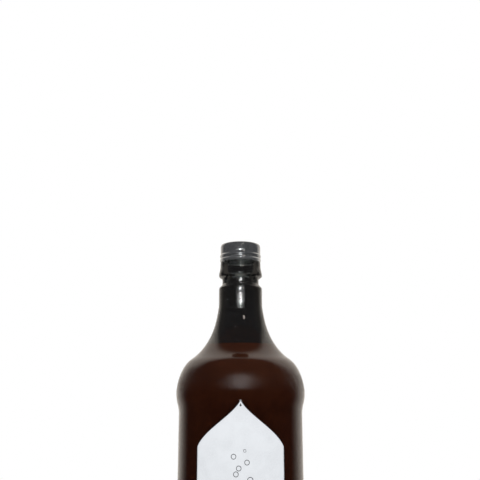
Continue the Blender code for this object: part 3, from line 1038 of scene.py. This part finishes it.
    def make_drops(self) -> None:
        """Drops of condensation on the inside of the neck, scattered over its wall."""
        kit = Recipe("scattered_drops", "seed", "density apart smallest largest flatness")
        scatter = kit.add("GeometryNodeDistributePointsOnFaces",
                          {0: kit.geometry, "Distance Min": kit["apart"],
                           "Density Max": kit["density"], "Seed": kit["seed"]},
                          distribute_method="POISSON")
        size = kit.drawn()
        kit.stand(kit.ball(), Field(kit, scatter.outputs[0]),
                  kit.join(size, size * 1.25, size * kit["flatness"]),
                  Field(kit, scatter.outputs["Rotation"]))
        wall = [(radius - 0.12 * MM, level) for radius, level in self.inside_outline()
                if level > self.fill_level + 4 * MM]
        wall.insert(0, (wall[0][0], self.neck_top - 2 * MM))
        steps = 48
        angles = [FULL_TURN * step / steps for step in range(steps)]
        host = bpy.data.meshes.new("drop_host")
        host.from_pydata([(radius * math.cos(angle), radius * math.sin(angle), level)
                          for radius, level in wall for angle in angles], [],
                         net(len(wall) - 1, steps, around=True))
        drops = kit.grow("neck_drops", DROPS, host, density=26000.0, apart=2.2 * MM,
                         smallest=0.18 * MM, largest=0.62 * MM, flatness=0.45, seed=11)
        report(drops, Body.BOTTLE, Slot.SODA)

    def make_studs(self) -> None:
        """Ring of small moulded studs on the face that the bottle stands on."""
        kit = Recipe("ring_of_studs", "count", "radius long wide height")
        spots = kit.ring(kit.join(0.0, 0.0, kit["height"]))
        scale = kit.join(kit["long"], kit["wide"], kit["height"])
        kit.stand(kit.ball(), spots, scale, kit.facing(0.5))
        studs = kit.grow("standing_studs", GLASS, count=96,
                         radius=(self.foot_outer + self.foot_inner) / 2,
                         long=1.15 * MM, wide=0.62 * MM, height=self.stud_height)
        report(studs, Body.BOTTLE, Slot.GLASS)

    def build(self) -> None:
        """Make every piece of the filled bottle."""
        self.make_glass()
        self.make_drink()
        self.make_bubbles()
        self.make_drops()
        self.make_studs()


# ---- The closure --------------------------------------------------------------------------
@dataclass
class Closure:
    """The rolled-on cap, its liner and the tamper band that stays on the neck.

    Outlines and levels are in millimetres here, as a closure's drawing has them.
    """

    lathe: Lathe
    outer: float = 14.15
    inner: float = 13.85
    top: float = TOP_LEVEL / MM
    trim: float = 290.4
    bead: float = 0.4
    skirt: Point = (291.9, 297.2)
    knurl: Point = (296.55, 298.45)
    knurl_fade: float = 0.4
    flutes: int = 84
    steps_per_flute: int = 6
    flute_depth: float = 0.06 * MM
    groove: float = 0.05 * MM
    ridge: float = 0.90 * MM
    thread: Thread = Thread(level=292.169 * MM, turns=1.25, width=1.15 * MM,
                            angle=math.radians(94.0))
    band_top: float = 290.1

    def make_cap(self) -> None:
        """The cap's sheet: dished top, knurled edge, rolled thread, bead and trimmed edge."""
        outer, inner, top, trim, bead = self.outer, self.inner, self.top, self.trim, self.bead
        face = refine(soften((
            (0.0, top - 0.05, 0.0), (9.6, top - 0.05, 0.3), (10.1, top - 0.17, 0.25),
            (10.7, top - 0.17, 0.25), (11.2, top, 0.3), (outer - 0.55, top, 1.1),
            (outer, top - 1.5, 1.0), (outer, 292.5, 0.4), (outer + bead, 291.85, 0.45),
            (outer + bead, 291.2, 0.45), (outer, 290.75, 0.25), (outer - 0.02, trim, 0.08),
            (outer - 0.15, trim, 0.0))), self._longest)[:-1]
        back = refine(soften((
            (outer - 0.15, trim, 0.0), (inner, trim, 0.06), (inner, 290.9, 0.2),
            (inner + 0.25, 291.5, 0.3), (inner, 292.2, 0.3), (inner, top - 1.4, 0.8),
            (inner - 0.7, top - 0.3, 0.8), (11.0, top - 0.3, 0.2), (0.0, top - 0.35, 0.0)), 3),
            self._longest)

        def relief(point: Point, index: int) -> Relief:
            """Thread on both sides of the skirt, and flutes round the upper edge."""
            radius, level = point[0] / MM, point[1] / MM
            front = index < len(face)
            threaded = radius > inner - 0.1 and self.skirt[0] < level < self.skirt[1]
            from_edge = min(level - self.knurl[0], self.knurl[1] - level) / self.knurl_fade
            knurled = front and radius > outer - 0.2 and from_edge > 0.0
            return Relief(thread=-(self.groove if front else self.ridge) if threaded else 0.0,
                          flute=-self.flute_depth * min(from_edge, 1.0) if knurled else 0.0)

        cap = self.lathe.turn("cap_skin", face + back, CAP_METAL,
                              self.flutes * self.steps_per_flute, relief,
                              flutes=self.flutes, thread=self.thread)
        report(cap, Body.CAP, Slot.CAP, "cap_shell")

    def _longest(self, point: Point) -> float:
        """Longest segment of the cap's outline at a point: short on the skirt."""
        if point[0] <= 13.5 * MM:
            return 2.0 * MM
        return (0.16 if 291.9 * MM < point[1] < 297.4 * MM else 0.45) * MM

    def make_liner(self) -> None:
        """Sealing disc with the ring that the lip has pressed into it."""
        outline = soften((
            (0.0, 299.40, 0.0), (12.35, 299.40, 0.3), (12.95, 299.05, 0.25),
            (12.95, 298.62, 0.15), (12.35, 298.62, 0.1), (12.2, 298.76, 0.1),
            (10.3, 298.76, 0.1), (9.9, 298.62, 0.2), (8.6, 298.62, 0.15), (8.4, 298.70, 0.15),
            (0.0, 298.70, 0.0)), 3)
        report(self.lathe.turn("liner_disc", outline, LINER_STUFF, 120), Body.LINER, Slot.LINER,
               "cap_liner")

    def make_band(self) -> None:
        """Tamper band: rolled bead, and a lower edge that curls in under the lock ring."""
        outer, inner, top, bead = self.outer, self.inner, self.band_top, self.bead
        outline = soften((
            (inner + 0.1, top, 0.0), (outer - 0.03, top, 0.06), (outer, 289.5, 0.2),
            (outer + bead, 288.95, 0.35), (outer + bead, 288.35, 0.35), (outer, 287.8, 0.25),
            (outer - 0.12, 287.2, 0.15), (12.95, 287.2, 0.05), (12.95, 287.5, 0.05),
            (inner - 0.1, 287.5, 0.2), (inner, 288.1, 0.2), (inner + 0.2, 288.65, 0.25),
            (inner, 289.3, 0.2), (inner, top, 0.05), (inner + 0.1, top, 0.0)))
        report(self.lathe.turn("band_ring", outline[:-1], BAND_METAL, 200), Body.BOTTLE,
               Slot.BAND, "tamper_band")

    def make_bridges(self) -> None:
        """Torn bridges on the band's upper edge, one at each of the score line's breaks."""
        kit = Recipe("torn_bridges", "count", "radius level length thickness height")
        spots = kit.ring(kit.join(0.0, 0.0, kit["level"] + kit["height"] * 0.5))
        block = kit.out("GeometryNodeMeshCylinder",
                        {"Vertices": 12, "Radius": 0.5, "Depth": 1.0, "Side Segments": 2})
        kit.stand(block, spots, kit.join(kit["thickness"], kit["length"], kit["height"]),
                  kit.facing())
        bridges = kit.grow("band_bridges", BAND_METAL, count=8, length=1.3 * MM,
                           radius=(self.outer + self.inner) / 2 * MM, thickness=0.24 * MM,
                           level=(self.band_top - 0.1) * MM, height=0.32 * MM)
        report(bridges, Body.BOTTLE, Slot.BAND)

    def build(self) -> None:
        """Make every piece of the closure."""
        self.make_cap()
        self.make_liner()
        self.make_band()
        self.make_bridges()


# ---- The enamel panels --------------------------------------------------------------------
@dataclass
class Panel:
    """A printed panel with pointed ends, its border and a motif of drops and bubbles."""

    glass: list[Point]
    side: Side
    node: str
    top: float = 192.63 * MM
    height: float = 116.0 * MM
    half_width: float = 29.0 * MM
    point: float = 28.0 * MM
    tip: float = 0.4 * MM
    lift: float = 0.05 * MM
    coat: float = 0.10 * MM
    ink: float = 0.05 * MM
    border_inset: float = 0.22 * MM
    border_width: float = 0.42 * MM
    drop_depth: float = 3.2 * MM
    drop_size: float = 0.60 * MM
    drop_tail: float = 1.1
    bubbles: int = 17
    bubble_depths: Point = (84.0 * MM, 30.0 * MM)
    bubble_reach: float = 11.0 * MM
    columns: int = 36

    def half_at(self, depth: float) -> float:
        """Half width at a distance below the upper point.

        Args:
            depth: The distance.

        Returns:
            Half of the width there, round the glass.
        """
        share = min(max(min(depth, self.height - depth) / self.point, 0.0), 1.0)
        ogee = share**2 * (3 - 2 * share)
        return self.half_width * (share + ogee) / 2 + self.tip

    def wrap(self, across: float, depth: float, lift: float) -> Place:
        """Place on the glass of a point of the flat panel.

        Args:
            across: Distance from the panel's middle line, round the glass.
            depth: Distance below the panel's upper point.
            lift: Height over the glass.

        Returns:
            The point in the bottle's frame.
        """
        level = self.top - depth
        radius = radius_on(self.glass, level)
        angle = math.radians(self.side.value) + across / radius
        radius += lift
        return (radius * math.cos(angle), radius * math.sin(angle), level)

    def sheet(self, part: str, flat: Iterable[Point], faces: Sequence[tuple[int, ...]],
              ground: bool = False) -> None:
        """Wrap a flat shape round the glass and give it its thickness and enamel.

        Args:
            part: What it is, for its name.
            flat: Distance across and depth of each vertex.
            faces: The flat shape's faces, seen from outside.
            ground: Whether it is the white ground, and not ink on the ground.
        """
        name = f"{self.node}_{part}"
        lift = self.lift if ground else self.lift + self.coat
        mesh = bpy.data.meshes.new(name + "_flat")
        mesh.from_pydata([self.wrap(*spot, lift) for spot in flat], [], faces)
        mesh.materials.append((WHITE if ground else INK).make())
        mesh.shade_smooth()
        worker = place(name + "_flat", mesh)
        wall = worker.modifiers.new("Coat", "SOLIDIFY")
        wall.thickness = self.coat if ground else self.ink
        wall.offset = 1.0
        slot, nodes = (Slot.ENAMEL, [self.node]) if ground else (None, [])
        report(settle(worker, name), Body.BOTTLE, slot, *nodes)

    def depths(self) -> list[float]:
        """Rows of the panel, closer together in its pointed ends."""
        ends = [self.point * (row / 26) ** 1.3 for row in range(27)]
        middle = np.linspace(self.point, self.height - self.point, 24)[1:-1]
        return ends + list(middle) + [self.height - depth for depth in reversed(ends)]

    def make_field(self) -> None:
        """The white ground of the panel."""
        depths = self.depths()
        flat = [((2 * column / self.columns - 1) * self.half_at(depth), depth)
                for depth in depths for column in range(self.columns + 1)]
        faces = [(a, d, c, b) for a, b, c, d in net(len(depths) - 1, self.columns)]
        self.sheet("field", flat, faces, ground=True)

    def make_border(self) -> None:
        """Thin dark line inside the panel's edge."""
        inset, half = self.border_inset, self.border_width / 2
        right = np.array([(self.half_at(depth), depth) for depth in self.depths()])
        edge = np.concatenate([right, right[::-1] * (-1.0, 1.0)])
        line = beside(edge, -inset)
        line = line[(line[:, 0] * edge[:, 0] > 0) & (line[:, 1] > inset)
                    & (line[:, 1] < self.height - inset)]
        flat = [tuple(spot) for spot in np.concatenate([beside(line, half), beside(line, -half)])]
        faces = [(a, d, c, b) for a, b, c, d in net(1, len(line), around=True)]
        self.sheet("border", flat, faces)

    def blob(self, across: float, depth: float, size: float, tail: float = 0.0,
             hollow: float = 0.80) -> list[Point]:
        """Outer and inner line of a bubble's ring or, with a tail, of a drop.

        Args:
            across: Distance of its middle from the panel's middle line.
            depth: Its distance below the panel's upper point.
            size: Its radius.
            tail: How far it is drawn out upwards.
            hollow: Size of the inner line, as a share of the outer one.

        Returns:
            The points of both lines, by turns.
        """
        points = []
        for index in range(28):
            angle = FULL_TURN * index / 28
            high = max(-math.cos(angle), 0.0)
            pinch = 1.0 - 0.55 * high**2 if tail else 1.0
            edge = (math.sin(angle) * size * pinch, math.cos(angle) * size * (1.0 + tail * high**3))
            points += [(across + edge[0] * share, depth + edge[1] * share)
                       for share in (1.0, hollow)]
        return points

    def make_motif(self) -> None:
        """Drop under each point and rising bubbles in the middle, printed in dark enamel."""
        blobs = [self.blob(0.0, depth, self.drop_size, self.drop_tail, 0.05)
                 for depth in (self.drop_depth, self.height - self.drop_depth)]
        random = np.random.default_rng(3)
        low, high = self.bubble_depths
        for index in range(self.bubbles):
            share = index / (self.bubbles - 1)
            across = self.bubble_reach * math.sin(index * 2.4) * (0.35 + 0.65 * (1 - share))
            size = (3.4 - 2.3 * share + float(random.uniform(-0.4, 0.4))) * MM
            blobs.append(self.blob(across, low - (low - high) * share, size))
        flat: list[Point] = sum(blobs, [])
        faces = []
        for first in range(0, len(flat), len(blobs[0])):
            for index in range(0, len(blobs[0]), 2):
                here, ahead = first + index, first + (index + 2) % len(blobs[0])
                faces.append((here, ahead, ahead + 1, here + 1))
        self.sheet("motif", flat, faces)

    def build(self) -> None:
        """Make the panel's field, border and motif."""
        self.make_field()
        self.make_border()
        self.make_motif()


# ---- The studio ---------------------------------------------------------------------------
@dataclass
class Card:
    """A soft light card, aimed at the neck."""

    name: str
    azimuth: float
    elevation: float
    distance: float
    wide: float
    tall: float
    radiance: float
    colour: Colour = (1.0, 1.0, 1.0)
    reflected: bool = True
    target: Place = (0.0, 0.0, 0.26)

    def build(self) -> None:
        """Hang the card: azimuth 0 stands before the bottle and 90 on its right."""
        data = bpy.data.lights.new(self.name, "AREA")
        data.shape = "RECTANGLE"
        data.size, data.size_y = self.wide, self.tall
        data.energy = self.radiance * math.pi * self.wide * self.tall
        data.color = self.colour
        lamp = place(self.name, data)
        turn, rise = math.radians(self.azimuth), math.radians(self.elevation)
        away = (math.sin(turn) * math.cos(rise), -math.cos(turn) * math.cos(rise), math.sin(rise))
        lamp.location = [t + a * self.distance for t, a in zip(self.target, away)]
        lamp.rotation_euler = (math.pi / 2 - rise, 0.0, turn)
        lamp.visible_glossy = lamp.visible_transmission = self.reflected
        lamp.visible_camera = False


@dataclass
class Studio:
    """Camera, floor, surroundings and lights."""

    eye: Place = (-0.00035, -0.460, 0.1935)
    tilt: float = 13.5
    lens: float = 49.5
    floor_radius: float = 1.2
    front_low: Colour = (0.020, 0.021, 0.024)
    front_high: Colour = (0.045, 0.046, 0.050)
    behind: Colour = (1.00, 0.93, 0.84)
    seen_through: Colour = (0.0062, 0.0052, 0.0050)
    beside: Colour = (0.036, 0.032, 0.028)
    filling: Colour = (0.95, 0.95, 0.95)
    backdrop: Colour = (1.0, 1.0, 1.0)
    cards: tuple[Card, ...] = (
        Card("key_upper", 0.0, 11.5, 0.230, 0.046, 0.0120, 18.0),
        Card("key_lower", 0.0, 7.8, 0.230, 0.042, 0.0097, 12.0),
        Card("key_rim", 0.0, 9.6, 0.240, 0.096, 0.0300, 2.2),
        Card("key_glow", 0.0, 9.3, 0.260, 0.220, 0.0480, 0.8),
        Card("side_lamp", 18.5, 31.0, 1.2, 0.045, 0.075, 14.0, (1.0, 0.90, 0.80)),
        Card("top_light", 0.0, 88.0, 1.6, 1.6, 1.6, 1.6, reflected=False),
    )

    def make_camera(self) -> None:
        """Stand the camera before the bottle, a little below the shoulder, looking up."""
        data = bpy.data.cameras.new("camera")
        data.lens = self.lens
        camera = place("camera", data)
        camera.location = self.eye
        camera.rotation_euler = (math.radians(90.0 + self.tilt), 0.0, 0.0)
        bpy.context.scene.camera = camera

    def make_floor(self) -> None:
        """Round pale floor just under the bottle, which the glass doesn't show."""
        rim = arc((0.0, 0.0), self.floor_radius, 0.0, 360.0, 96)[:-1]
        mesh = bpy.data.meshes.new("floor")
        mesh.from_pydata([(x, y, -0.1 * MM) for x, y in rim], [], [tuple(range(len(rim)))])
        mesh.materials.append(FLOOR.make())
        floor = place("floor", mesh)
        floor.visible_glossy = floor.visible_transmission = False

    def make_surroundings(self) -> None:
        """Pale room: bright behind and above, dim in front, darker where glass shows it."""
        world = bpy.data.worlds.new("studio")
        world.use_nodes = True
        world.cycles.sampling_method = "NONE"
        bpy.context.scene.world = world
        kit = NodeKit(world.node_tree)
        x, y, z = kit.split(kit.out("ShaderNodeTexCoord", output="Generated"))
        path = kit.add("ShaderNodeLightPath")
        to_camera, through_glass, bounced = (
            Field(kit, path.outputs[name])
            for name in ("Is Camera Ray", "Is Transmission Ray", "Diffuse Depth"))
        high = z.ramp(0.20, 0.75)
        edge = z.ramp(0.02, 0.18) * 0.07 + 0.56 - high * 0.41 - x * 0.05
        share = ((y - edge) / (0.29 - high * 0.13)).ramp(-1.0, 1.0) * (high * 0.15 + 0.85)
        front = kit.mix(z.ramp(0.0, 0.5), self.front_low, self.front_high)
        mirrored = kit.mix(share, front, self.behind)
        ahead = y / (x * x + y * y).math("SQRT").math("MAXIMUM", 0.001)
        aside = kit.mix(ahead.ramp(-0.1, 0.4), front, self.beside)
        through = kit.mix(ahead.ramp(0.84, 0.92), aside, self.seen_through)
        shown = kit.mix(through_glass, mirrored, through)
        lighting = kit.mix(bounced.math("GREATER_THAN", 0.5), shown, self.filling)
        kit.plug(world.node_tree.nodes["Background"],
                 {"Color": kit.mix(to_camera, lighting, self.backdrop)})

    def build(self) -> None:
        """Set up the whole studio."""
        self.make_camera()
        self.make_floor()
        self.make_surroundings()
        for card in self.cards:
            card.build()
        bpy.context.scene.view_settings.view_transform = "Standard"


def main() -> None:
    """Build the studio and every piece of the bottle."""
    logging.basicConfig(level=logging.INFO, format="%(name)s: %(message)s")
    Studio().build()
    lathe = Lathe()
    bottle = Bottle(lathe)
    bottle.build()
    Closure(lathe).build()
    for side, node in ((Side.FRONT, "front_label"), (Side.BACK, "back_label")):
        Panel(bottle.body_outline(), side, node).build()


if __name__ == "__main__":
    main()
